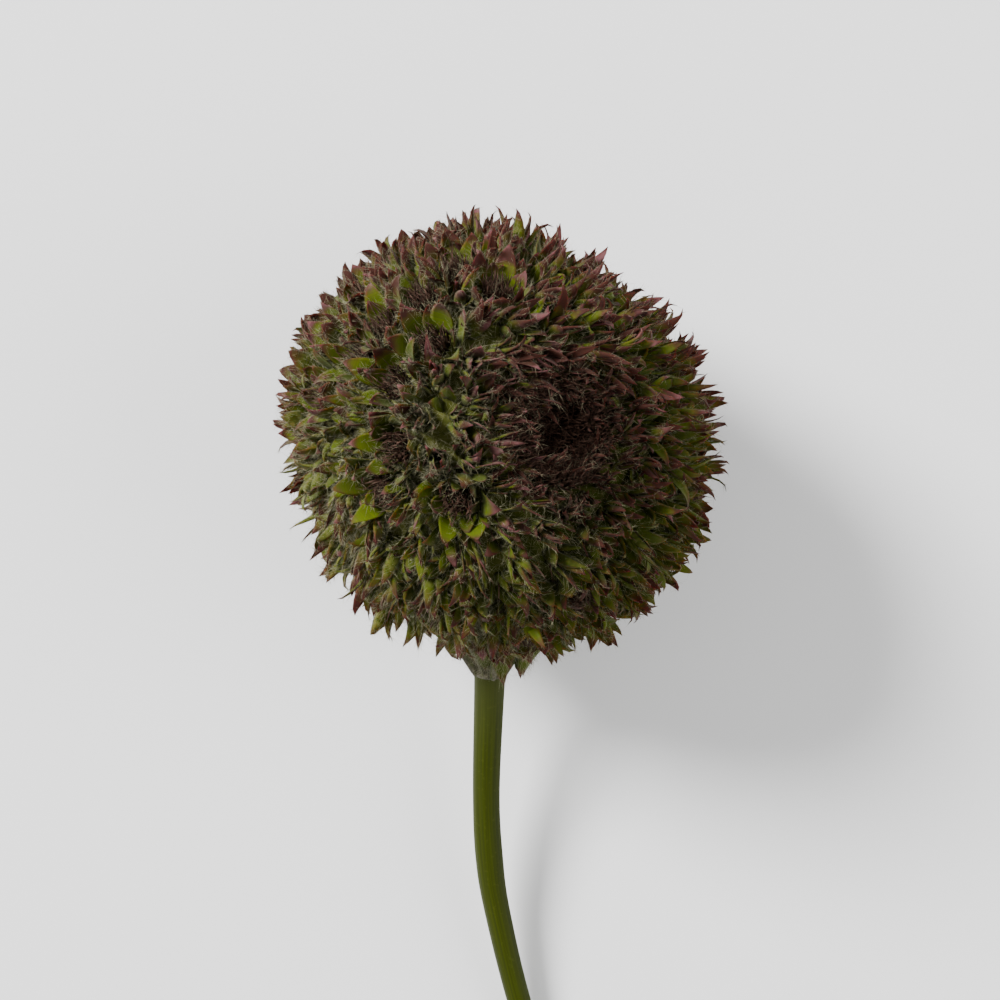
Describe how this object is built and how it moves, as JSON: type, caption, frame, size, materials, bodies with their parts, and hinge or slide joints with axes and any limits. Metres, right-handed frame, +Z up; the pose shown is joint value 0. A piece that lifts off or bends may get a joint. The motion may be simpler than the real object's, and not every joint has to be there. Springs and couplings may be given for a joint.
{
  "type": "gerbera flower",
  "caption": "Cut gerbera with a round head of green bracts and dark florets on a smooth curved stem, lying down with its dark eye facing up.",
  "frame": {"origin": "on the surface that the flower lies on, at the cut-flat tip of the lowest bract, straight under the middle of the head", "axes": "+Z up from the surface, +Y along the flower from the cut end of the stem towards the head, +X to the side that the eye turns to"},
  "size_m": [0.0609, 0.1747, 0.0604],
  "materials": {
    "bracts": "matte",
    "florets": "matte",
    "stem": "satin"
  },
  "bodies": {
    "root": {"bract_head": "bracts", "eye_florets": "florets", "floret_tuft_01": "florets", "floret_tuft_02": "florets", "floret_tuft_03": "florets", "floret_tuft_04": "florets", "floret_tuft_05": "florets", "floret_tuft_06": "florets", "floret_tuft_07": "florets", "floret_tuft_08": "florets", "floret_tuft_09": "florets", "floret_tuft_10": "florets", "floret_tuft_11": "florets", "floret_tuft_12": "florets", "floret_tuft_13": "florets", "floret_tuft_14": "florets", "floret_tuft_15": "florets", "floret_tuft_16": "florets", "floret_tuft_17": "florets", "floret_tuft_18": "florets", "floret_tuft_19": "florets", "floret_tuft_20": "florets", "floret_tuft_21": "florets", "floret_tuft_22": "florets", "floret_tuft_23": "florets", "floret_tuft_24": "florets", "floret_tuft_25": "florets", "floret_tuft_26": "florets", "floret_tuft_27": "florets", "floret_tuft_28": "florets", "floret_tuft_29": "florets", "floret_tuft_30": "florets", "floret_tuft_31": "florets", "floret_tuft_32": "florets", "floret_tuft_33": "florets", "floret_tuft_34": "florets", "floret_tuft_35": "florets", "floret_tuft_36": "florets", "floret_tuft_37": "florets", "floret_tuft_38": "florets", "stem": "stem"}
  },
  "joints": []
}
